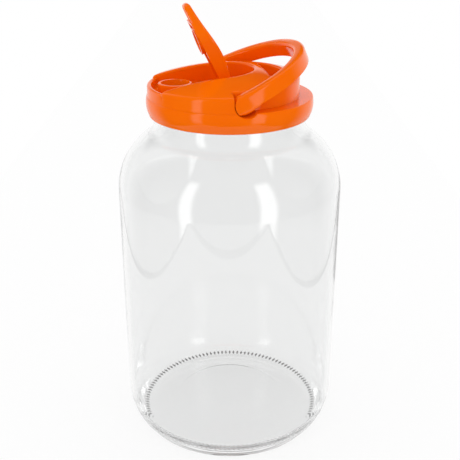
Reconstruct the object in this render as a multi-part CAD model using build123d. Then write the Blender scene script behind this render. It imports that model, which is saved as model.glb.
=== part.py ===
# Wide-mouth glass storage jar with a screw-on pouring lid, a flip cap and a swing handle.
# Millimetres, +Z up. The origin is the centre of the foot ring, on the surface the jar stands on.
# The spout points along -X. The flip cap and the handle both turn about axes parallel to Y.
# The cap stands open and the handle is part raised.
import os
from math import acos, degrees, sqrt

from build123d import *

# Shared values
overrun = 2.0                # how far a cutting tool runs past the face it opens
running_fit = 0.05           # radial clearance of a trunnion in its hole
free_gap = 0.35              # clearance between pieces that pass each other
touch = 0.01                 # points closer than this are taken to be on a surface

# Glass jar, outside
body_radius = 77.4
heel_radius = 38.0
heel_inset = 12.2            # from the body's side in to the ring it stands on
foot_width = 3.0
foot_round = 4.5
push_up_radius = 39.0        # edge of the raised disc in the middle of the base
push_up_height = 3.5
shoulder_radius = 46.0
shoulder_drop = 59.6         # from the rim down to the centre of the shoulder's curve
neck_radius = 51.3
neck_fillet = 13.0
rim_z = 242.6
rim_round = 1.4
thread_rise = 1.3            # the thread's crests stand this far out of the neck
thread_band_height = 5.0
thread_band_chamfer = 1.3
thread_drop = 1.6            # from the rim down to the thread

# Glass jar, inside
wall = 3.0
neck_wall = 4.2
floor_thickness = 7.5
inner_heel_radius = 13.0
inner_neck_fillet = 15.0

# Sealing ring between the rim and the lid
liner_thickness = 1.2
liner_overlap = 0.7          # the ring's hole is smaller than the mouth by this much all round

# Lid, outside; heights are above the rim of the glass
lid_bore_gap = 0.5           # between the thread on the neck and the skirt's bore
skirt_wall = 3.2
skirt_bulge_height = 0.8     # where the barrelled skirt is widest
skirt_curve_radius = 18.0
skirt_drop = 7.8             # from the rim of the glass down to the skirt's lip
lip_round = 1.3
crease_height = 5.0          # top of the skirt, where the narrower band starts
crease_rise = 0.6
crease_depth = 1.1
lid_wall = 2.0

# Domed top, part of a ball, highest a little behind the jar's axis
dome_radius = 181.0
dome_height = 23.6
dome_middle_x = 3.5
dome_edge_round = 3.0
drum_round = 2.0             # top edge of the drum that the handle lies round
ledge_height = 5.4           # step that the folded handle lies over

# Pouring dish, round at its back, and the pocket behind it
dish_half_width = 23.8
dish_back_x = -8.0           # centre of the round back
dish_height = 7.4
dish_floor_round = 2.5
crest_round = 1.5            # where the dome meets the dish and the pocket
pocket_chord_x = 22.0
pocket_radius = 35.4
pocket_round = 3.0

# Sill that closes the dish at the spout
sill_height = 5.4            # above the dish floor
sill_width = 3.4
sill_round = 1.5

# Collar round the pouring hole
collar_x = -36.6
collar_radius = 11.3
collar_bore_radius = 9.6
collar_height = 7.0
collar_round = 0.6

# Cap hinge
hinge_x = -2.0
hinge_rise = 4.3             # above the dish floor
ear_thickness = 2.8
ear_radius = 3.7
cap_pin_radius = 1.6
cap_pin_reach = 2.4          # how far a trunnion stands out of the cap's side

# Flip cap, measured level, from the hinge axis towards the spout and up; shut, it tips up over the sill
cap_open_angle = 63.0        # as it stands
cap_length = 59.4
cap_hinge_half_width = 10.8
cap_half_width = 13.5
tab_half_width = 8.0
tab_length = 11.5
tab_thickness = 4.5
skirt_edge = 3.35            # from the hinge axis down to the cap's lower edge
cap_heel_length = 4.6
cap_heel_height = 2.7
cap_root_height = 3.6
cap_hump_height = 5.7
cap_hump_at = 20.0
cap_tip_height = 2.1
cap_wall = 1.5
cap_edge_round = 1.2
hinge_block_length = 5.0
scoop_radius = 16.0
scoop_depth = 1.0
plug_play = 0.6              # between the plug and the collar's bore
plug_wall = 1.5
plug_reach = 2.5             # how far the plug stands below the cap's edge on its hinge side

# Swing handle, measured folded; heights are above or below its pivots
handle_raised_angle = 23.8   # as it stands
handle_width = 7.9
handle_gap = 0.6             # from the drum, which the turning bar passes closest to
handle_above = 6.8           # top of the bar
handle_below = 2.9           # underside of the bar
handle_round = 2.4
handle_end_radius = 7.5      # the arms' ends stay inside this circle round the pivots
handle_end_top = 3.9         # how far the slanted end reaches at its top
handle_end_low = 7.3         # and at its bottom
lobe_below = 4.6             # the ends are deeper than the bar
lobe_length = 5.0
lobe_slope = 4.0
pivot_height = 10.5          # above the rim of the glass
handle_pin_radius = 3.0
handle_pin_reach = 3.3
handle_wall = 2.2
handle_core_end = 16.0       # the hollow under the bar stops this far behind the pivots
handle_rib_count = 5
handle_rib = 1.4
scallop_gap = 0.5            # round the handle's ends, where they turn in the lid

# Sizes that follow from the ones above, so that the pieces always fit each other
foot_radius = body_radius - heel_inset
shoulder_centre_z = rim_z - shoulder_drop
inner_neck_radius = neck_radius - neck_wall
liner_inner_radius = inner_neck_radius - liner_overlap
thread_crest_radius = neck_radius + thread_rise
lid_bore_radius = thread_crest_radius + lid_bore_gap
lid_radius = lid_bore_radius + skirt_wall
band_radius = lid_radius - crease_depth
handle_inner_radius = band_radius - handle_width
drum_radius = handle_inner_radius - handle_gap
scallop_radius = handle_end_radius + scallop_gap
plug_radius = collar_bore_radius - plug_play
lip_z = rim_z - skirt_drop
land_z = rim_z + liner_thickness
lid_widest_z = rim_z + skirt_bulge_height
skirt_centre = (lid_radius - skirt_curve_radius, lid_widest_z)
crease_z = rim_z + crease_height
ledge_z = rim_z + ledge_height
dish_floor_z = rim_z + dish_height
dome_top_z = rim_z + dome_height
hinge_z = dish_floor_z + hinge_rise
pivot_z = rim_z + pivot_height


def ring_profile(*edges):
    """Turn a closed outline of radius and height about the vertical axis."""
    return revolve(Plane.XZ * make_face(Wire(edges)), Axis.Z)


def side_slab(outline, width):
    """Solid of one side view, centred on the plane of symmetry."""
    return extrude(Plane.XZ.offset(-width / 2) * outline, width, dir=(0, -1, 0))


def tangent_height(centre_r, centre_z, reach, other_r):
    """Height of a second arc centre at a given distance and radius from the first."""
    return centre_z + sqrt(reach**2 - (other_r - centre_r)**2)


def arc_about(centre, start, end, radius, bulge):
    """Arc from start to end about a centre; bulge is the side of the centre it passes, as a direction."""
    length = sqrt(bulge[0]**2 + bulge[1]**2)
    middle = (centre[0] + radius * bulge[0] / length, centre[1] + radius * bulge[1] / length)
    return ThreePointArc(start, middle, end)


def between(centre, first, second):
    """Direction from an arc's centre to the middle of the arc between two of its points."""
    return (first[0] + second[0] - 2 * centre[0], first[1] + second[1] - 2 * centre[1])


def towards(start, end, reach):
    """Point at a distance from start on the line to end."""
    span = sqrt((end[0] - start[0])**2 + (end[1] - start[1])**2)
    return (start[0] + reach * (end[0] - start[0]) / span, start[1] + reach * (end[1] - start[1]) / span)


def arc_edge(centre, radius, start, end):
    return arc_about(centre, start, end, radius, between(centre, start, end))


def glass_jar():
    heel_centre_r = body_radius - heel_radius
    heel_span = heel_radius - foot_round
    heel_centre = (heel_centre_r, tangent_height(heel_centre_r, foot_round, heel_span, foot_radius))
    foot_centre = (foot_radius, foot_round)
    heel_start = towards(heel_centre, foot_centre, heel_radius)

    shoulder_centre = (body_radius - shoulder_radius, shoulder_centre_z)
    fillet_r = neck_radius + neck_fillet
    fillet_z = tangent_height(*shoulder_centre, shoulder_radius + neck_fillet, fillet_r)
    fillet_centre = (fillet_r, fillet_z)
    shoulder_end = towards(shoulder_centre, fillet_centre, shoulder_radius)

    thread_top = rim_z - thread_drop
    thread_low = thread_top - thread_band_height
    inner_radius = body_radius - wall
    inner_floor = (inner_radius - inner_heel_radius, floor_thickness)
    inner_heel_centre = (inner_floor[0], floor_thickness + inner_heel_radius)
    inner_shoulder = shoulder_radius - wall
    inner_fillet_r = inner_neck_radius + inner_neck_fillet
    inner_reach = inner_shoulder + inner_neck_fillet
    inner_fillet = (inner_fillet_r, tangent_height(*shoulder_centre, inner_reach, inner_fillet_r))
    inner_shoulder_end = towards(shoulder_centre, inner_fillet, inner_shoulder)

    body_low = (body_radius, heel_centre[1])
    body_high = (body_radius, shoulder_centre_z)
    neck_low = (neck_radius, fillet_centre[1])
    inner_high = (inner_radius, shoulder_centre_z)
    inner_low = (inner_radius, inner_heel_centre[1])
    inner_neck_low = (inner_neck_radius, inner_fillet[1])
    rim_outer = (neck_radius, rim_z - rim_round)
    rim_top_outer = (neck_radius - rim_round, rim_z)
    rim_top_inner = (inner_neck_radius + rim_round, rim_z)
    rim_inner = (inner_neck_radius, rim_z - rim_round)
    floor_mid = (0, floor_thickness + push_up_height)

    return ring_profile(
        Line((0, push_up_height), (push_up_radius, push_up_height)),
        Line((push_up_radius, push_up_height), (foot_radius - foot_width, 0)),
        Line((foot_radius - foot_width, 0), (foot_radius, 0)),
        arc_edge(foot_centre, foot_round, (foot_radius, 0), heel_start),
        arc_edge(heel_centre, heel_radius, heel_start, body_low),
        Line(body_low, body_high),
        arc_edge(shoulder_centre, shoulder_radius, body_high, shoulder_end),
        arc_edge(fillet_centre, neck_fillet, shoulder_end, neck_low),
        Line(neck_low, (neck_radius, thread_low)),
        Line((neck_radius, thread_low), (thread_crest_radius, thread_low + thread_band_chamfer)),
        Line((thread_crest_radius, thread_low + thread_band_chamfer),
             (thread_crest_radius, thread_top - thread_band_chamfer)),
        Line((thread_crest_radius, thread_top - thread_band_chamfer), (neck_radius, thread_top)),
        Line((neck_radius, thread_top), rim_outer),
        arc_edge((neck_radius - rim_round, rim_z - rim_round), rim_round, rim_outer, rim_top_outer),
        Line(rim_top_outer, rim_top_inner),
        arc_edge((inner_neck_radius + rim_round, rim_z - rim_round), rim_round, rim_top_inner, rim_inner),
        Line(rim_inner, inner_neck_low),
        arc_edge(inner_fillet, inner_neck_fillet, inner_neck_low, inner_shoulder_end),
        arc_edge(shoulder_centre, inner_shoulder, inner_shoulder_end, inner_high),
        Line(inner_high, inner_low),
        arc_edge(inner_heel_centre, inner_heel_radius, inner_low, inner_floor),
        Line(inner_floor, floor_mid),
        Line(floor_mid, (0, push_up_height)),
    )


def skirt_radius(z):
    """Radius of the barrelled skirt at a height."""
    return skirt_centre[0] + sqrt(skirt_curve_radius**2 - (z - lid_widest_z)**2)


def dome(inset):
    """Ball whose top is the lid's domed top; an inset makes it smaller."""
    return Pos(dome_middle_x, 0, dome_top_z - dome_radius) * Rot(0, 0, 180) * Sphere(dome_radius - inset)


def lid_blank():
    """The lid's outer form before anything is cut into it."""
    lip_top = (skirt_radius(lip_z + lip_round), lip_z + lip_round)
    lip_low = (lip_top[0] - lip_round, lip_z)
    skirt_top = (skirt_radius(crease_z), crease_z)
    band_low = (band_radius, crease_z + crease_rise)
    band_top = (band_radius, dome_top_z)
    blank = ring_profile(
        Line((0, lip_z), lip_low),
        arc_edge((lip_low[0], lip_top[1]), lip_round, lip_low, lip_top),
        arc_edge(skirt_centre, skirt_curve_radius, lip_top, skirt_top),
        Line(skirt_top, band_low),
        Line(band_low, band_top),
        Line(band_top, (0, dome_top_z)),
        Line((0, dome_top_z), (0, lip_z)),
    )
    blank &= dome(0)
    return fillet(edges_above(blank, pivot_z), dome_edge_round)


def edges_above(solid, height):
    return solid.edges().filter_by(lambda edge: edge.center().Z > height)


def dish_tool(grow):
    """Solid that fills the pouring dish, out past the band; grow adds a wall round it."""
    floor_z = dish_floor_z - grow
    half_width = dish_half_width + grow
    reach = lid_radius + overrun
    plan = Pos(dish_back_x, 0) * Circle(half_width)
    plan += Pos((dish_back_x - reach) / 2, 0) * Rectangle(reach + dish_back_x, 2 * half_width)
    tool = extrude(Pos(0, 0, floor_z) * plan, dome_top_z + overrun - floor_z)
    low_edges = tool.edges().group_by(Axis.Z)[0]
    inner_edges = low_edges.filter_by(lambda edge: edge.center().X > -lid_radius)
    return fillet(inner_edges, dish_floor_round + grow)


def pocket_tool(grow):
    """Solid that fills the D-shaped pocket behind the dish."""
    floor_z = dish_floor_z - grow
    outer = pocket_radius + grow
    chord = pocket_chord_x - grow
    plan = Circle(outer) & Pos(chord + outer / 2, 0) * Rectangle(outer, 2 * outer)
    tool = extrude(Pos(0, 0, floor_z) * plan, dome_top_z + overrun - floor_z)
    return fillet(tool.edges().filter_by(Axis.Z), pocket_round + grow)


def drum():
    """The part of the lid that the folded handle lies round, with a rounded top edge."""
    height = dome_top_z - lip_z
    body = Pos(0, 0, lip_z) * Cylinder(drum_radius, height, align=(Align.CENTER, Align.CENTER, Align.MIN))
    body &= dome(0)
    return fillet(edges_above(body, pivot_z), drum_round)


def handle_channel():
    """Room for the folded handle: a ledge round the back of the drum, and a scallop at each pivot."""
    reach = lid_radius + overrun
    height = dome_top_z - ledge_z + overrun
    ring = Cylinder(reach, height, align=(Align.CENTER, Align.CENTER, Align.MIN))
    back = Box(reach, 2 * reach, height, align=(Align.MIN, Align.CENTER, Align.MIN))
    front = Pos(0, 0, pivot_z - ledge_z) * Box(
        scallop_radius, 2 * reach, height, align=(Align.MAX, Align.CENTER, Align.MIN))
    channel = Pos(0, 0, ledge_z) * (ring & (back + front))
    turn = Pos(0, 0, pivot_z) * Rot(90, 0, 0) * Cylinder(scallop_radius, 2 * reach)
    return channel + turn - drum()


def lid_cavity():
    """Hollow under the deck, inside the drum, round the pockets."""
    cavity = Pos(0, 0, land_z) * Cylinder(
        drum_radius - lid_wall, dome_top_z - land_z, align=(Align.CENTER, Align.CENTER, Align.MIN))
    return (cavity & dome(lid_wall)) - dish_tool(lid_wall) - pocket_tool(lid_wall)


def collar():
    ring = Pos(collar_x, 0, dish_floor_z - lid_wall) * Cylinder(
        collar_radius, collar_height + lid_wall, align=(Align.CENTER, Align.CENTER, Align.MIN))
    return fillet(ring.edges().group_by(Axis.Z)[-1], collar_round)


def pour_bore():
    height = dome_top_z - land_z
    return Pos(collar_x, 0, land_z) * Cylinder(
        collar_bore_radius, height, align=(Align.CENTER, Align.CENTER, Align.MIN))


def hinge_ears():
    """Two ears on the dish floor that hold the cap's trunnions."""
    ears = []
    for side in (-1, 1):
        inner = cap_hinge_half_width + free_gap
        foot_z = dish_floor_z - lid_wall / 2
        plan = Pos(hinge_x, hinge_z) * Circle(ear_radius)
        plan += Pos(hinge_x, (hinge_z + foot_z) / 2) * Rectangle(2 * ear_radius, hinge_z - foot_z)
        ear = side_slab(plan, ear_thickness)
        ears.append(Pos(0, side * (inner + ear_thickness / 2), 0) * ear)
    return ears


def hinge_bore():
    return Pos(hinge_x, 0, hinge_z) * Rot(90, 0, 0) * Cylinder(
        cap_pin_radius + running_fit, 2 * (cap_hinge_half_width + free_gap + ear_thickness + overrun))


def handle_bore():
    """Holes through the drum's wall for the handle's trunnions."""
    bore = Rot(90, 0, 0) * Cylinder(handle_pin_radius + running_fit, 2 * drum_radius + overrun)
    core = Rot(90, 0, 0) * Cylinder(
        handle_pin_radius + running_fit, 2 * (drum_radius - handle_pin_reach - lid_wall))
    return Pos(0, 0, pivot_z) * (bore - core)


def crest(form, tool):
    """Edges where the domed top meets the walls that a tool has cut."""
    ball = Vector(dome_middle_x, 0, dome_top_z - dome_radius)
    middles = [(edge, edge @ (1 / 2)) for edge in form.edges()]
    return [edge for edge, middle in middles
            if abs((middle - ball).length - dome_radius) < touch and tool.is_inside(middle)]


def lid_form():
    """The lid's outside with its dish, pocket, sill and channel, still solid underneath."""
    form = lid_blank()
    for pocket in (dish_tool, pocket_tool):
        form -= pocket(0)
        form = fillet(crest(form, pocket(touch)), crest_round)
    return form + sill() - handle_channel()


def sill():
    """Low wall across the front of the dish, flush with the band."""
    width = 2 * (dish_half_width + crest_round)
    plan = Circle(band_radius) - Circle(band_radius - sill_width)
    plan &= Pos(-lid_radius / 2, 0) * Rectangle(lid_radius, width)
    low = dish_floor_z - lid_wall
    wall = extrude(Pos(0, 0, low) * plan, sill_height + lid_wall)
    return fillet(wall.edges().group_by(Axis.Z)[-1].filter_by(GeomType.CIRCLE), sill_round)


def screw_lid():
    lid = lid_form()
    lid -= Pos(0, 0, lip_z - overrun) * Cylinder(
        lid_bore_radius, land_z - lip_z + overrun, align=(Align.CENTER, Align.CENTER, Align.MIN))
    lid -= lid_cavity()
    lid += collar()
    for ear in hinge_ears():
        lid += ear
    lid -= pour_bore()
    lid -= hinge_bore()
    lid -= handle_bore()
    return lid


def lid_liner():
    """Flat sealing ring pinched between the glass rim and the lid."""
    ring = Circle(lid_bore_radius - running_fit) - Circle(liner_inner_radius)
    return extrude(Pos(0, 0, rim_z) * ring, liner_thickness)


def cap_top(inset):
    """Top line of the level cap's side view; an inset lowers it."""
    middle = (cap_hump_at + cap_length) / 2
    return Spline(
        (-cap_heel_length, cap_heel_height - inset),
        (hinge_block_length, cap_root_height - inset),
        (cap_hump_at, cap_hump_height - inset),
        (middle, (cap_hump_height + cap_tip_height) / 2 - inset),
        (cap_length - cap_tip_height, cap_tip_height - inset),
    )


def cap_outline():
    """Side view of the level cap."""
    tip_low = cap_tip_height - tab_thickness
    tab_start = cap_length - tab_length
    tip_bottom = (cap_length - tab_thickness / 2, tip_low)
    top = cap_top(0)
    return make_face(Wire([
        top,
        ThreePointArc(top @ 1, (cap_length, (cap_tip_height + tip_low) / 2), tip_bottom),
        Line(tip_bottom, (tab_start, tip_low)),
        Line((tab_start, tip_low), (tab_start, -skirt_edge)),
        Line((tab_start, -skirt_edge), (0, -skirt_edge)),
        Line((0, -skirt_edge), (-cap_heel_length, cap_heel_height)),
    ]))


def cap_hollow_outline():
    """Side view of the hollow under the cap, open at the lower edge."""
    tab_start = cap_length - tab_length
    top = cap_top(cap_wall)
    low = -skirt_edge - overrun
    ceiling = make_face(Wire([
        top,
        Line(top @ 1, ((top @ 1).X, low)),
        Line(((top @ 1).X, low), (-cap_heel_length, low)),
        Line((-cap_heel_length, low), top @ 0),
    ]))
    length = tab_start - cap_wall - hinge_block_length
    height = cap_hump_height - low
    return ceiling & Pos(hinge_block_length + length / 2, low + height / 2) * Rectangle(length, height)


def cap_plan(inset):
    """Plan of the level cap: hinge end, round middle over the collar, and thumb tab."""
    middle = hinge_x - collar_x
    tab_end = cap_length - tab_half_width + free_gap
    rear = -cap_heel_length - overrun
    root = cap_hinge_half_width - inset
    widest = cap_half_width - inset
    tab = tab_half_width - inset
    rounds = [
        Pos(hinge_block_length, 0) * Circle(root),
        Pos(middle, 0) * Circle(widest),
        Pos(tab_end, 0) * Circle(tab),
    ]
    outline = make_hull([edge for shape in rounds for edge in shape.edges()])
    block = Pos((rear + hinge_block_length) / 2, 0) * Rectangle(hinge_block_length - rear, 2 * root)
    return outline + block


def cap_shell():
    """The cap's moulded shell, level, with the hinge axis at the origin and the tip along +X."""
    width = 2 * (cap_half_width + overrun)
    height = cap_hump_height + skirt_edge + 2 * overrun
    low = Pos(0, 0, -skirt_edge - overrun)
    shell = side_slab(cap_outline(), width)
    shell &= extrude(low * cap_plan(0), height)
    top = shell.faces().sort_by(Axis.Z)[-1]
    shell = fillet(top.edges().filter_by(GeomType.BSPLINE), cap_edge_round)
    hollow = side_slab(cap_hollow_outline(), width)
    hollow &= extrude(low * cap_plan(cap_wall), height)
    scoop_x = cap_length - tab_length / 2
    scoop_z = cap_tip_height - tab_thickness + scoop_depth - scoop_radius
    scoop = Pos(scoop_x, 0, scoop_z) * Rot(0, 90, 0) * Cylinder(scoop_radius, tab_length)
    return shell - hollow - scoop


def cap_plug():
    """Ring under the cap that fills the collar's bore, longer on its hinge side."""
    middle = hinge_x - collar_x
    low = -skirt_edge - plug_reach
    ring = Circle(plug_radius) - Circle(plug_radius - plug_wall)
    plug = extrude(Pos(middle, 0, low) * ring, cap_hump_height - cap_wall - low)
    side = make_face(Polyline(
        (middle - plug_radius - overrun, low),
        (middle + plug_radius + overrun, -skirt_edge),
        (middle + plug_radius + overrun, cap_top_height(middle)),
        (middle - plug_radius - overrun, cap_top_height(middle)),
        close=True,
    ))
    width = 2 * (plug_radius + overrun)
    return plug & side_slab(side, width)


def cap_top_height(along):
    """Height of the cap's ceiling, seen from the hinge axis, at a distance along it."""
    share = (along - cap_hump_at) / (cap_length - cap_hump_at)
    return cap_hump_height + share * (cap_tip_height - cap_hump_height) - cap_wall / 2


def flip_cap():
    pins = Rot(90, 0, 0) * Cylinder(cap_pin_radius, 2 * (cap_hinge_half_width + cap_pin_reach))
    cap = cap_shell() + cap_plug() + pins
    return Pos(hinge_x, 0, hinge_z) * Rot(0, 0, 180) * Rot(0, -cap_open_angle, 0) * cap


def handle_section():
    """Rounded section of the bar, as deep as its ends, stood up at the start of its path."""
    middle = handle_inner_radius + handle_width / 2
    start = Plane(origin=(-handle_end_radius, -middle, 0), x_dir=(0, 1, 0), z_dir=(1, 0, 0))
    return start * RectangleRounded(handle_width, handle_above + lobe_below, handle_round)


def handle_path():
    middle = handle_inner_radius + handle_width / 2
    return Wire([
        Line((-handle_end_radius, -middle), (0, -middle)),
        CenterArc((0, 0), middle, -90, 180),
        Line((0, middle), (-handle_end_radius, middle)),
    ])


def handle_core():
    """Hollow under the bar, open downwards, crossed by thin ribs."""
    middle = handle_inner_radius + handle_width / 2
    width = handle_width - 2 * handle_wall
    low = -lobe_below - overrun
    height = handle_above - handle_wall - low
    ring = Circle(middle + width / 2) - Circle(middle - width / 2)
    reach = handle_inner_radius + handle_width + overrun
    back = Pos(handle_core_end + reach / 2, 0) * Rectangle(reach, 2 * reach)
    core = extrude(Pos(0, 0, low) * (ring & back), height)
    swept = degrees(acos(handle_core_end / middle))
    for rib in range(handle_rib_count):
        angle = swept * (2 * (rib + 1) / (handle_rib_count + 1) - 1)
        core -= Rot(0, 0, angle) * Pos(middle, 0, low + height / 2) * Box(2 * width, handle_rib, height)
    return core


def handle_side():
    """Side view of the bar and its slanted, deeper ends, as a solid that trims it."""
    reach = handle_inner_radius + handle_width + overrun
    outline = make_face(Polyline(
        (-handle_end_top, handle_above),
        (-handle_end_low, -lobe_below),
        (lobe_length, -lobe_below),
        (lobe_length + lobe_slope, -handle_below),
        (reach, -handle_below),
        (reach, handle_above),
        close=True,
    ))
    outline &= Circle(handle_end_radius) + Pos(reach / 2, 0) * Rectangle(reach, 2 * reach)
    return side_slab(outline, 2 * reach)


def carry_handle():
    bar = sweep(handle_section(), path=handle_path())
    bar = Pos(0, 0, (handle_above - lobe_below) / 2) * bar
    bar &= handle_side()
    bar -= handle_core()
    for side in (-1, 1):
        inner = drum_radius - handle_pin_reach
        length = handle_inner_radius + handle_width / 2 - inner
        pin = Rot(90, 0, 0) * Cylinder(handle_pin_radius, length)
        bar += Pos(0, side * (inner + length / 2), 0) * pin
    return Pos(0, 0, pivot_z) * Rot(0, -handle_raised_angle, 0) * bar


def write_parts():
    os.makedirs("parts", exist_ok=True)
    export_step(glass_jar(), "parts/glass_jar.step")
    export_step(lid_liner(), "parts/lid_liner.step")
    export_step(screw_lid(), "parts/screw_lid.step")
    export_step(flip_cap(), "parts/flip_cap.step")
    export_step(carry_handle(), "parts/carry_handle.step")


write_parts()
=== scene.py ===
import math

import bpy
import bmesh
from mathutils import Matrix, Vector


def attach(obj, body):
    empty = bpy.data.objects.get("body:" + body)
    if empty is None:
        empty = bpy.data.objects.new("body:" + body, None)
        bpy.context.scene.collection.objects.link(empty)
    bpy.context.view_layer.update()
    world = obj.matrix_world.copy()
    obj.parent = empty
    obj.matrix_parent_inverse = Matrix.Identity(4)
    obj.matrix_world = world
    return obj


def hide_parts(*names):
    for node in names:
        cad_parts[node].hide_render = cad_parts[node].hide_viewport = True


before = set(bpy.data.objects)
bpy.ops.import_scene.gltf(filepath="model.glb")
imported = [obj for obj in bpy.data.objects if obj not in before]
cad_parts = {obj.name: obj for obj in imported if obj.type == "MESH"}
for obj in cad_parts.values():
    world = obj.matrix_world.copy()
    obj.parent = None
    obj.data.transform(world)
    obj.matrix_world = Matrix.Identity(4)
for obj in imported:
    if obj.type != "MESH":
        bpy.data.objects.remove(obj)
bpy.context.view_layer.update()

MM = 0.001

# Camera, in metres and degrees, as read from the photograph.
CAMERA_PLACE = (-0.1042, -0.5123, 0.3732)
CAMERA_HEADING, CAMERA_DOWN = 78.5, 23.3
CAMERA_LENS, CAMERA_SHIFT = 61.72, 0.0007
FACING = CAMERA_HEADING - 180  # direction from the jar to the camera

# Zones of the studio: from, to, and the softness of their ends, in degrees.
# Those that go round the jar count from the camera, the others from level upwards.
# SIDES spans all but what lies behind the jar.
FRONT, SIDES, CEILING, BELOW = (-105, 110, 24), (-140, 140, 20), (18, 62, 8), (-120, -21, 4)
LEFT_BOX, RIGHT_BOX, BOX_HEIGHT = (-51, -38, 5), (30.5, 48, 5), (-24, 42, 8)
BOX_LEVEL = 2.6
# Shares of the light that the zones keep back, in reflections and in what shows through glass.
# A share below zero adds light.
CEILING_REFLECTED, FRONT_REFLECTED = 0.98, 0.96
CEILING_THROUGH, FRONT_THROUGH, BELOW_THROUGH = 0.6, 0.15, -0.75

# Table top, in metres from the jar's axis, as the camera sees it, how far it and its edge lie below the jar,
# and the shares of plain white that some rays see on them.
TABLE_LEFT, TABLE_RIGHT, TABLE_FRONT, TABLE_BACK = 0.325, 0.305, 0.42, 6.0
TABLE_SINK, EDGE_SINK, EDGE_WIDTH = 0.05 * MM, 0.1 * MM, 0.012
TABLE_WHITE, EDGE_WHITE = 0.9, 0.75

# Glass jar, in millimetres: outside and inside radii, and heights above the table.
BODY, INSIDE, NECK, MOUTH = 77.4, 74.4, 51.3, 47.1
SHOULDER, INNER_SHOULDER, SHOULDER_Z = 46.0, 43.0, 183.0
NECK_FILLET, MOUTH_FILLET = 13.0, 15.0
FOOT, FOOT_ROUND, HEEL = 65.2, 4.5, 38.0
HOLLOW, HOLLOW_HEIGHT, HOLLOW_STEPS = 62.2, 3.5, 18
INNER_HEEL, INNER_HEEL_Z = 13.0, 20.5
RIM_ROUND, RIM_Z = 1.4, 241.2
MOULD_RING = [(41.0, 8.72), (40.6, 8.78), (40.2, 8.98), (39.8, 8.84), (39.4, 8.84)]
FLOOR_SLOPE, FLOOR_MIDDLE = (30, 9.4), (0.0, 11.0)

# Dimples round the foot: their number, the radius and reach of the dark spots of shade painted into the
# glass there, and the dents in the glass.
DOTS, SHADE_DOT_RADIUS, SHADE_DOT_SPREAD, SHADE_DOT_TOP, SHADE_DOT_SHARPNESS = 124, 66.2, 2.7, 4, 4.0
DENT_FROM, DENT_TO, DENT_TOP = 64.6, 67.4, 1.0
DENTS = (0.9, 0.6, 0, 0.6)

# Screw thread on the neck. NEAR and HAIR are small distances beside it.
THREAD_LOW, THREAD_TOP, PITCH = 235.6, 241.2, 5.08
NEAR, HAIR = 0.1, 0.01
THREAD_START, THREAD_FADE = 0.6, 0.8
THREAD_HEIGHT, THREAD_HALF_WIDTH = 1.3, 1.25

# Faint waves of the wall's inner face: where they lie, each one's depth, number round the jar and start,
# and how they change with the height.
WAVE_LOW, WAVE_TOP, WAVE_RADIUS = 20, 200, 60
WAVES = ((0.12, 3, 0.7), (0.08, 5, 2.0))
WAVE_MEAN, WAVE_STEADY, WAVE_SWAY, WAVE_HEIGHT = 0.12, 0.6, 0.4, 23

# Handle, in millimetres and degrees. END_TOP and END_FOOT are the corners of the CAD end's slant,
# ahead of the pivot along the arm and above it. FAR lies beyond them, and ALMOST keeps a divisor from 0.
HANDLE_PIVOT, HANDLE_ANGLE = 253.1, 23.8
END_TOP, END_FOOT = (-3.9, 6.8), (-7.3, -4.6)
END_RADIUS, END_LOW, LOBE_REACH, PIN_REACH = 7.5, 5.5, 5.0, 3.5
END_POWER, FAR, ALMOST = 6, 100.0, 0.01

SHARP_ANGLE = 38  # degrees: steeper edges stay sharp or get a bevel
WELD = 1e-6  # metres between points that become one


def make_camera():
    """Camera at the photograph's viewing angle."""
    data = bpy.data.cameras.new("camera")
    data.lens = CAMERA_LENS
    data.sensor_width = 36.0
    data.shift_x = CAMERA_SHIFT
    data.clip_start, data.clip_end = 0.01, 50
    camera = bpy.data.objects.new("camera", data)
    bpy.context.scene.collection.objects.link(camera)
    camera.location = CAMERA_PLACE
    turn, down = math.radians(CAMERA_HEADING), math.radians(CAMERA_DOWN)
    look = Vector((math.cos(turn) * math.cos(down), math.sin(turn) * math.cos(down), -math.sin(down)))
    camera.rotation_mode = "QUATERNION"
    camera.rotation_quaternion = look.to_track_quat("-Z", "Y")
    bpy.context.scene.camera = camera


def math_node(tree, operation, a, b=None, clamp=False):
    """Output of a math node, whose inputs are numbers or other nodes' outputs."""
    node = tree.nodes.new("ShaderNodeMath")
    node.operation = operation
    node.use_clamp = clamp
    for i, value in enumerate((a, b)):
        if value is None:
            continue
        if isinstance(value, (int, float)):
            node.inputs[i].default_value = value
        else:
            tree.links.new(value, node.inputs[i])
    return node.outputs[0]


def seen_rays(tree, kinds):
    """1 for rays of these kinds."""
    path = tree.nodes.new("ShaderNodeLightPath")
    total = path.outputs[kinds[0]]
    for kind in kinds[1:]:
        total = math_node(tree, "MAXIMUM", total, path.outputs[kind])
    return total


def world_angles(tree):
    """Directions of the world in degrees: round the jar from the camera, and up from level."""
    coordinate = tree.nodes.new("ShaderNodeTexCoord")
    split = tree.nodes.new("ShaderNodeSeparateXYZ")
    tree.links.new(coordinate.outputs["Generated"], split.inputs[0])
    x, y, z = split.outputs
    azimuth = math_node(tree, "ARCTAN2", y, x)
    turned = math_node(tree, "SUBTRACT", azimuth, math.radians(FACING))
    wrapped = math_node(tree, "SINE", math_node(tree, "MULTIPLY", turned, 0.5))
    angle = math_node(tree, "MULTIPLY", math_node(tree, "ARCSINE", wrapped), 2 * 180 / math.pi)
    elevation = math_node(tree, "MULTIPLY", math_node(tree, "ARCSINE", z), 180 / math.pi)
    return angle, elevation


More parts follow.
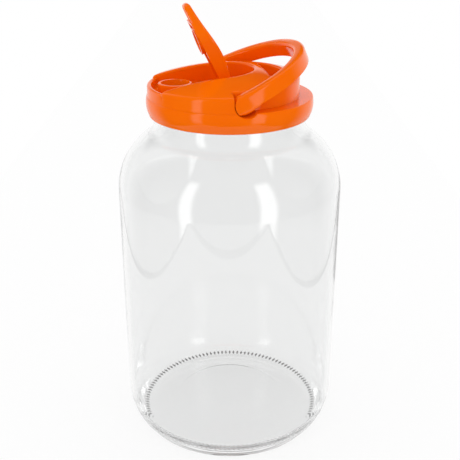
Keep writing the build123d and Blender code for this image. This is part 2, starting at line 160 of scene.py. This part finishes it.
def world_levels(tree):
    """Light of the studio in reflections, and as it shows through glass."""
    angle, elevation = world_angles(tree)

    def band(value, zone):
        start, end, soft = zone
        up = math_node(tree, "DIVIDE", math_node(tree, "SUBTRACT", value, start - soft / 2), soft, True)
        down = math_node(tree, "DIVIDE", math_node(tree, "SUBTRACT", end + soft / 2, value), soft, True)
        return math_node(tree, "MULTIPLY", up, down)

    def darker(value, mask, share):
        kept = math_node(tree, "SUBTRACT", 1.0, math_node(tree, "MULTIPLY", mask, share))
        return math_node(tree, "MULTIPLY", value, kept)

    front = band(angle, FRONT)
    behind = math_node(tree, "SUBTRACT", 1.0, band(angle, SIDES))
    ceiling = math_node(tree, "MULTIPLY", behind, band(elevation, CEILING))
    left = math_node(tree, "MULTIPLY", band(angle, LEFT_BOX), band(elevation, BOX_HEIGHT))
    right = math_node(tree, "MULTIPLY", band(angle, RIGHT_BOX), band(elevation, BOX_HEIGHT))
    boxes = math_node(tree, "MULTIPLY", math_node(tree, "ADD", left, right), BOX_LEVEL)
    lower = math_node(tree, "MULTIPLY", band(elevation, BELOW), FRONT_THROUGH - BELOW_THROUGH)
    share = math_node(tree, "MULTIPLY", front, math_node(tree, "SUBTRACT", FRONT_THROUGH, lower))
    reflected = darker(darker(1.0, ceiling, CEILING_REFLECTED), front, FRONT_REFLECTED)
    through = darker(darker(1.0, ceiling, CEILING_THROUGH), share, 1.0)
    return math_node(tree, "ADD", reflected, boxes), math_node(tree, "ADD", through, boxes)


def make_world():
    """Studio with plain white light, and an upright softbox on each side of the camera for gloss and glass.

    Gloss also reflects a dark front and a dark ceiling behind the jar. Glass shows weaker ones.
    """
    world = bpy.data.worlds.new("studio")
    bpy.context.scene.world = world
    world.use_nodes = True
    tree = world.node_tree
    tree.nodes.clear()

    def blend(base, other, mask):
        part = math_node(tree, "MULTIPLY", other, mask)
        rest = math_node(tree, "MULTIPLY", base, math_node(tree, "SUBTRACT", 1.0, mask))
        return math_node(tree, "ADD", rest, part)

    def background():
        node = tree.nodes.new("ShaderNodeBackground")
        node.inputs["Color"].default_value = (1, 1, 1, 1)
        node.inputs["Strength"].default_value = 1.0
        return node

    # A refracted ray counts as glossy too, so the level through glass is laid over the other.
    reflected, through = world_levels(tree)
    level = blend(1.0, reflected, seen_rays(tree, ["Is Glossy Ray"]))
    level = blend(level, through, seen_rays(tree, ["Is Transmission Ray"]))
    studio, white = background(), background()
    tree.links.new(level, studio.inputs["Strength"])
    mix = tree.nodes.new("ShaderNodeMixShader")
    tree.links.new(seen_rays(tree, ["Is Camera Ray"]), mix.inputs["Fac"])
    tree.links.new(studio.outputs[0], mix.inputs[1])
    tree.links.new(white.outputs[0], mix.inputs[2])
    output = tree.nodes.new("ShaderNodeOutputWorld")
    tree.links.new(mix.outputs[0], output.inputs["Surface"])
    # Light samples of the world would not know the kind of ray.
    world.cycles.sampling_method = "NONE"


def new_material(name):
    """Material, its node tree and its Principled shader."""
    material = bpy.data.materials.new(name)
    material.use_nodes = True
    return material, material.node_tree, material.node_tree.nodes["Principled BSDF"]


def plain_material(name, grey, white_share):
    """Grey surface that some rays see as white, by the share that white_share makes in its node tree."""
    material, tree, shader = new_material(name)
    shader.inputs["Base Color"].default_value = (grey, grey, grey, 1)
    shader.inputs["Roughness"].default_value = 0.6
    white = tree.nodes.new("ShaderNodeEmission")
    white.inputs["Color"].default_value = (1, 1, 1, 1)
    white.inputs["Strength"].default_value = 1.0
    mix = tree.nodes.new("ShaderNodeMixShader")
    tree.links.new(white_share(tree), mix.inputs["Fac"])
    tree.links.new(shader.outputs[0], mix.inputs[1])
    tree.links.new(white.outputs[0], mix.inputs[2])
    tree.links.new(mix.outputs[0], tree.nodes["Material Output"].inputs["Surface"])
    material.cycles.emission_sampling = "NONE"
    return material


def table_share(tree):
    """The pale table is nearly white, and keeps a trace of the jar's shadow."""
    seen = seen_rays(tree, ["Is Camera Ray", "Is Glossy Ray", "Is Transmission Ray"])
    return math_node(tree, "MULTIPLY", seen, TABLE_WHITE)


def shaded_edge_share(tree):
    """The painted shade at the table's edge is unseen by the camera, and faint through the glass."""
    through = math_node(tree, "MULTIPLY", seen_rays(tree, ["Is Transmission Ray"]), EDGE_WHITE)
    return math_node(tree, "MAXIMUM", seen_rays(tree, ["Is Camera Ray"]), through)


def link_object(name, mesh):
    """New object of this mesh in the scene."""
    piece = bpy.data.objects.new(name, mesh)
    bpy.context.scene.collection.objects.link(piece)
    return piece


def flat_piece(name, rectangles, sink, material):
    """Level rectangles, each from its near left to its far right corner as the camera sees them."""
    turn = math.radians(FACING)
    ahead = Vector((math.cos(turn), math.sin(turn), 0))
    across = Vector((-math.sin(turn), math.cos(turn), 0))
    drop = Vector((0, 0, -sink))
    vertices, faces = [], []
    for (near, start), (far, end) in rectangles:
        k = len(vertices)
        corners = ((near, start), (near, end), (far, end), (far, start))
        vertices += [tuple(ahead * a + across * c + drop) for a, c in corners]
        faces.append((k, k + 1, k + 2, k + 3))
    mesh = bpy.data.meshes.new(name)
    mesh.from_pydata(vertices, [], faces)
    mesh.materials.append(material)
    return link_object(name, mesh)


def make_floor():
    """Pale table top that ends in front and at both sides. A thin dark strip round it, which the glass
    reflects, is painted shade for the table's edge.
    """
    left, right, front, back = -TABLE_LEFT, TABLE_RIGHT, TABLE_FRONT, -TABLE_BACK
    pale = plain_material("pale_table", 0.95, table_share)
    pale.node_tree.nodes["Principled BSDF"].inputs["Specular IOR Level"].default_value = 0.1
    floor = flat_piece("table", [((front, left), (back, right))], TABLE_SINK, pale)
    sides = [
        ((front, left - EDGE_WIDTH), (front + EDGE_WIDTH, right + EDGE_WIDTH)),
        ((back, left - EDGE_WIDTH), (front, left)),
        ((back, right), (front, right + EDGE_WIDTH)),
    ]
    # Painted shade: a dark strip that stands for the shaded edge of the table in the glass's reflections.
    edge = flat_piece("shaded_table_edge", sides, EDGE_SINK, plain_material("shaded_table_edge", 0.1, shaded_edge_share))


def texture(tree, kind, output, scale, detail=None):
    """Output of a procedural texture that keeps to the piece."""
    coordinate = tree.nodes.new("ShaderNodeTexCoord")
    node = tree.nodes.new(kind)
    node.inputs["Scale"].default_value = scale
    if detail is not None:
        node.inputs["Detail"].default_value = detail
    tree.links.new(coordinate.outputs["Object"], node.inputs["Vector"])
    return node.outputs[output]


def add_bump(tree, shader, height, strength, distance):
    """Let a height move the shading of the surface by up to this distance in metres."""
    bump = tree.nodes.new("ShaderNodeBump")
    bump.inputs["Strength"].default_value = strength
    bump.inputs["Distance"].default_value = distance
    tree.links.new(height, bump.inputs["Height"])
    tree.links.new(bump.outputs[0], shader.inputs["Normal"])


def dimple_painted_shade(tree):
    """1 in the small dimples that ring the foot, where shade is painted dark into the glass."""
    coordinate = tree.nodes.new("ShaderNodeTexCoord")
    split = tree.nodes.new("ShaderNodeSeparateXYZ")
    tree.links.new(coordinate.outputs["Object"], split.inputs[0])
    x, y, z = split.outputs
    squares = math_node(tree, "ADD", math_node(tree, "MULTIPLY", x, x), math_node(tree, "MULTIPLY", y, y))
    radius = math_node(tree, "SQRT", squares)
    turn = math_node(tree, "MULTIPLY", math_node(tree, "ARCTAN2", y, x), DOTS)
    beside = math_node(tree, "SUBTRACT", radius, SHADE_DOT_RADIUS * MM)
    across = math_node(tree, "DIVIDE", beside, SHADE_DOT_SPREAD * MM)
    across = math_node(tree, "MULTIPLY", across, across)
    dot = math_node(tree, "SUBTRACT", math_node(tree, "COSINE", turn), across)
    dot = math_node(tree, "MULTIPLY", dot, SHADE_DOT_SHARPNESS, True)
    below = math_node(tree, "LESS_THAN", z, SHADE_DOT_TOP * MM)
    return math_node(tree, "MULTIPLY", dot, below)


def glass_material():
    """Clear glass, slightly uneven, with dark spots of painted shade in the foot's dimples."""
    material, tree, shader = new_material("clear_glass")
    shader.inputs["Transmission Weight"].default_value = 1.0
    shader.inputs["Roughness"].default_value = 0.0
    shader.inputs["IOR"].default_value = 1.5
    add_bump(tree, shader, texture(tree, "ShaderNodeTexNoise", 0, 16, 2), 0.05, 0.002)
    # Painted shade: the glass's colour turns nearly black in the foot's dimples, standing in for their
    # shading.
    painted_shade_mix = tree.nodes.new("ShaderNodeMix")
    painted_shade_mix.data_type = "RGBA"
    painted_shade_mix.inputs["A"].default_value = (0.92, 0.923, 0.922, 1)
    painted_shade_mix.inputs["B"].default_value = (0.04, 0.04, 0.04, 1)
    tree.links.new(dimple_painted_shade(tree), painted_shade_mix.inputs["Factor"])
    tree.links.new(painted_shade_mix.outputs["Result"], shader.inputs["Base Color"])
    return material


def orange_material(name):
    """Glossy moulded plastic with faint drifts of colour and a very fine grain."""
    material, tree, shader = new_material(name)
    shader.inputs["Roughness"].default_value = 0.09
    shader.inputs["Specular IOR Level"].default_value = 0.25
    ramp = tree.nodes.new("ShaderNodeValToRGB")
    low_end, high_end = ramp.color_ramp.elements
    low_end.position, low_end.color = 0.3, (0.955, 0.146, 0.0004, 1)
    high_end.position, high_end.color = 0.7, (0.970, 0.160, 0.0004, 1)
    tree.links.new(texture(tree, "ShaderNodeTexNoise", 0, 40, 4), ramp.inputs["Fac"])
    tree.links.new(ramp.outputs["Color"], shader.inputs["Base Color"])
    add_bump(tree, shader, texture(tree, "ShaderNodeTexNoise", 0, 900, 3), 0.04, 0.0002)
    return material


def foam_material():
    """Pale foamed sheet with fine cells."""
    material, tree, shader = new_material("liner_foam")
    shader.inputs["Base Color"].default_value = (0.86, 0.86, 0.83, 1)
    shader.inputs["Roughness"].default_value = 0.75
    add_bump(tree, shader, texture(tree, "ShaderNodeTexVoronoi", "Distance", 1400), 0.3, 0.0002)
    return material


def arc(centre, start, end, count):
    """Points of the shorter arc about a centre, from start to end, without the first one."""
    a0 = math.atan2(start[1] - centre[1], start[0] - centre[0])
    a1 = math.atan2(end[1] - centre[1], end[0] - centre[0])
    turn = (a1 - a0 + math.pi) % (2 * math.pi) - math.pi
    reach = math.hypot(start[0] - centre[0], start[1] - centre[1])
    angles = [a0 + turn * i / count for i in range(1, count + 1)]
    return [(centre[0] + reach * math.cos(a), centre[1] + reach * math.sin(a)) for a in angles]


def line(start, end, count):
    """Points of a straight line from start to end, without the first one."""
    shares = [i / count for i in range(1, count + 1)]
    return [(start[0] + (end[0] - start[0]) * s, start[1] + (end[1] - start[1]) * s) for s in shares]


def towards(start, end, reach):
    """Point at this reach from start in the direction of end."""
    span = math.hypot(end[0] - start[0], end[1] - start[1])
    return (start[0] + reach * (end[0] - start[0]) / span, start[1] + reach * (end[1] - start[1]) / span)


def above(centre, reach, radius):
    """Point at this radius from the jar's axis that lies above a centre, at this reach from it."""
    return (radius, centre[1] + math.sqrt(reach**2 - (radius - centre[0]) ** 2))


def outer_profile():
    """Outline of the glass from the middle of the underside to the top of the rim."""
    foot_centre = (FOOT, FOOT_ROUND)
    heel_rise = math.sqrt((HEEL - FOOT_ROUND) ** 2 - (FOOT - (BODY - HEEL)) ** 2)
    heel_centre = (BODY - HEEL, FOOT_ROUND + heel_rise)
    heel_start = towards(heel_centre, foot_centre, HEEL)
    shoulder_centre = (BODY - SHOULDER, SHOULDER_Z)
    fillet = above(shoulder_centre, SHOULDER + NECK_FILLET, NECK + NECK_FILLET)
    shoulder_end = towards(shoulder_centre, fillet, SHOULDER)
    shares = [i / HOLLOW_STEPS for i in range(HOLLOW_STEPS + 1)]
    points = [(HOLLOW * s, HOLLOW_HEIGHT * (1 - s**2)) for s in shares]
    points += line(points[-1], (FOOT, 0), 4)
    points += arc(foot_centre, (FOOT, 0), heel_start, 16)
    points += arc(heel_centre, heel_start, (BODY, heel_centre[1]), 22)
    points += line(points[-1], (BODY, SHOULDER_Z), 6)
    points += arc(shoulder_centre, (BODY, SHOULDER_Z), shoulder_end, 30)
    points += arc(fillet, shoulder_end, (NECK, fillet[1]), 14)
    points += line(points[-1], (NECK, THREAD_LOW - 2 * NEAR), 2)
    points += line(points[-1], (NECK, THREAD_TOP - HAIR), 22)
    points += arc((NECK - RIM_ROUND, RIM_Z), (NECK, RIM_Z), (NECK - RIM_ROUND, RIM_Z + RIM_ROUND), 5)
    return points


def inner_profile(rim):
    """Outline of the glass from its rim, without that point, to the middle of the floor."""
    shoulder_centre = (BODY - SHOULDER, SHOULDER_Z)
    fillet = above(shoulder_centre, INNER_SHOULDER + MOUTH_FILLET, MOUTH + MOUTH_FILLET)
    shoulder_start = towards(shoulder_centre, fillet, INNER_SHOULDER)
    rim_centre = (MOUTH + RIM_ROUND, RIM_Z)
    heel_centre = (INSIDE - INNER_HEEL, INNER_HEEL_Z)
    points = line(rim, (rim_centre[0], RIM_Z + RIM_ROUND), 2)
    points += arc(rim_centre, points[-1], (MOUTH, RIM_Z), 5)
    points += line(points[-1], (MOUTH, fillet[1]), 4)
    points += arc(fillet, (MOUTH, fillet[1]), shoulder_start, 14)
    points += arc(shoulder_centre, shoulder_start, (INSIDE, SHOULDER_Z), 26)
    points += line(points[-1], (INSIDE, INNER_HEEL_Z), 8)
    points += arc(heel_centre, (INSIDE, INNER_HEEL_Z), (heel_centre[0], INNER_HEEL_Z - INNER_HEEL), 20)
    points += line(points[-1], MOULD_RING[0], 5)
    points += MOULD_RING[1:]
    points += line(points[-1], FLOOR_SLOPE, 3)
    points += line(points[-1], FLOOR_MIDDLE, 5)
    return points


def clamp(value):
    """The value, held between 0 and 1."""
    return max(0.0, min(1.0, value))


def outer_point(point, angle, dent):
    """Point of the outside at an angle round the jar, with the foot's dents and the thread."""
    r, z = point
    if DENT_FROM < r < DENT_TO and z < DENT_TOP:
        z += dent * math.sin(math.pi * (r - DENT_FROM) / (DENT_TO - DENT_FROM))
    if abs(r - NECK) < NEAR / 2 and THREAD_LOW - NEAR < z < THREAD_TOP:
        turn = (z - THREAD_LOW - THREAD_START) / PITCH - angle / (2 * math.pi)
        beside = abs(turn - round(turn)) * PITCH
        ridge = max(0.0, 1 - (beside / THREAD_HALF_WIDTH) ** 2)
        fade = clamp((z - THREAD_LOW) / THREAD_FADE) * clamp((THREAD_TOP - z) / THREAD_FADE)
        r += THREAD_HEIGHT * ridge * fade
    return r, z


def inner_point(point, angle):
    """Point of the inside at an angle round the jar, with the wall's faint waves."""
    r, z = point
    if WAVE_LOW < z < WAVE_TOP and r > WAVE_RADIUS:
        wave = sum(depth * math.sin(count * angle + start) for depth, count, start in WAVES)
        share = math.sin(math.pi * (z - WAVE_LOW) / (WAVE_TOP - WAVE_LOW))
        r -= share * (WAVE_MEAN + wave * (WAVE_STEADY + WAVE_SWAY * math.sin(z / WAVE_HEIGHT)))
    return r, z


def glass_jar():
    """The jar as one closed skin: the profile turned round the axis, with a dimple for each dot."""
    outer = outer_profile()
    inner = inner_profile(outer[-1])
    under_z, floor_z = outer.pop(0)[1], inner.pop()[1]
    steps, n = DOTS * len(DENTS), len(outer) + len(inner)
    vertices, faces = [], []
    for i in range(steps):
        angle = 2 * math.pi * i / steps
        ring = [outer_point(point, angle, DENTS[i % len(DENTS)]) for point in outer]
        ring += [inner_point(point, angle) for point in inner]
        vertices += [(r * math.cos(angle) * MM, r * math.sin(angle) * MM, z * MM) for r, z in ring]
    for i in range(steps):
        k = (i + 1) % steps
        for j in range(n - 1):
            faces.append((i * n + j, k * n + j, k * n + j + 1, i * n + j + 1))
    under, floor = len(vertices), len(vertices) + 1
    vertices += [(0, 0, under_z * MM), (0, 0, floor_z * MM)]
    for i in range(steps):
        k = (i + 1) % steps
        faces.append((under, k * n, i * n))
        faces.append((floor, i * n + n - 1, k * n + n - 1))
    mesh = bpy.data.meshes.new("jar_glass")
    mesh.from_pydata(vertices, [], faces)
    mesh.update()
    work = bmesh.new()
    work.from_mesh(mesh)
    bmesh.ops.recalc_face_normals(work, faces=work.faces)
    work.to_mesh(mesh)
    work.free()
    mesh.shade_smooth()
    mesh.materials.append(glass_material())
    jar = link_object("jar_glass", mesh)
    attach(jar, "jar")
    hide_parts("glass_jar")


def end_reach(turn):
    """Reach of the CAD handle's slanted end from its pivot, in a direction seen from the side."""
    ahead, up = math.cos(turn), math.sin(turn)
    slant = (END_TOP[0] - END_FOOT[0], END_TOP[1] - END_FOOT[1])
    span = math.hypot(*slant)
    normal = (-slant[1] / span, slant[0] / span)
    facing = normal[0] * ahead + normal[1] * up
    reach = END_RADIUS if ahead < 0 else FAR
    if facing > 0:
        reach = min(reach, (normal[0] * END_TOP[0] + normal[1] * END_TOP[1]) / facing)
    if up < 0:
        reach = min(reach, END_FOOT[1] / up)
    if up > 0:
        reach = min(reach, END_TOP[1] / up)
    return reach


def round_reach(turn, old, a, u):
    """Reach of the rounded end in the same direction; a and u are ahead of and above the pivot."""
    new = old
    if u < 0 or a < 0:
        flat = max(0.0, -math.sin(turn)) / END_LOW
        new = (END_RADIUS**-END_POWER + flat**END_POWER) ** (-1 / END_POWER)
    if u > 0:
        new = min(new, END_TOP[1] / max(math.sin(turn), ALMOST))
    return new


def rounded_handle():
    """The handle, with its ends filled out to the round that turns in the lid's scallops."""
    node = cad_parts["carry_handle"]
    tilt = math.radians(HANDLE_ANGLE)
    along, up = Vector((math.cos(tilt), 0, math.sin(tilt))), Vector((-math.sin(tilt), 0, math.cos(tilt)))
    pivot = Vector((0, 0, HANDLE_PIVOT * MM))
    work = bmesh.new()
    work.from_mesh(node.data)
    bmesh.ops.transform(work, matrix=node.matrix_world, verts=work.verts)
    bmesh.ops.remove_doubles(work, verts=work.verts, dist=WELD)

    def cut(normal, point, faces):
        edges = {e for f in faces for e in f.edges}
        verts = {v for f in faces for v in f.verts}
        parts = list(verts) + list(edges) + faces
        bmesh.ops.bisect_plane(work, geom=parts, plane_co=point, plane_no=normal)

    # Cuts through the pivot, ten degrees apart, give the ends enough points to become round.
    cut(along, pivot + along * LOBE_REACH * MM, list(work.faces))
    for degrees in range(100, 331, 10):
        turn = math.radians(degrees)
        normal = along * -math.sin(turn) + up * math.cos(turn)
        ends = [f for f in work.faces if (f.calc_center_median() - pivot).dot(along) < LOBE_REACH * MM]
        cut(normal, pivot, ends)
    for vertex in work.verts:
        gap = vertex.co - pivot
        a, u = gap.dot(along) / MM, gap.dot(up) / MM
        reach = math.hypot(a, u)
        if a > LOBE_REACH or reach < PIN_REACH:
            continue
        turn = math.atan2(u, a)
        old = end_reach(turn)
        fade = clamp((LOBE_REACH - a) / LOBE_REACH) * clamp((reach - PIN_REACH) / (old - PIN_REACH))
        move = (round_reach(turn, old, a, u) - old) * fade * MM
        vertex.co += (along * math.cos(turn) + up * math.sin(turn)) * move
    mesh = bpy.data.meshes.new("swing_handle")
    work.to_mesh(mesh)
    work.free()
    mesh.shade_smooth()
    mesh.set_sharp_from_angle(angle=math.radians(SHARP_ANGLE))
    piece = link_object("swing_handle", mesh)
    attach(piece, "handle")
    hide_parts("carry_handle")
    return piece


def dress(piece, material, bevel=0.5):
    """Give a piece its material and softly rounded edges of this width in millimetres."""
    piece.data.materials.clear()
    piece.data.materials.append(material)
    weld = piece.modifiers.new("weld", "WELD")
    weld.merge_threshold = WELD
    if bevel:
        rounding = piece.modifiers.new("edge", "BEVEL")
        rounding.width = bevel * MM
        rounding.segments = 2
        rounding.limit_method = "ANGLE"
        rounding.angle_limit = math.radians(SHARP_ANGLE)
        rounding.harden_normals = False


make_camera()
make_world()
make_floor()
glass_jar()
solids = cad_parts
dress(solids["screw_lid"], orange_material("orange_lid"))
dress(solids["flip_cap"], orange_material("orange_cap"), 0.3)
dress(rounded_handle(), orange_material("orange_handle"), 0.4)
dress(solids["lid_liner"], foam_material(), 0)

# Light that turns many times inside the thick heel of the glass still arrives.
BOUNCES = 32
bpy.context.scene.cycles.max_bounces = BOUNCES
bpy.context.scene.cycles.transmission_bounces = BOUNCES
bpy.context.scene.cycles.glossy_bounces = BOUNCES
bpy.context.scene.view_settings.view_transform = "Standard"
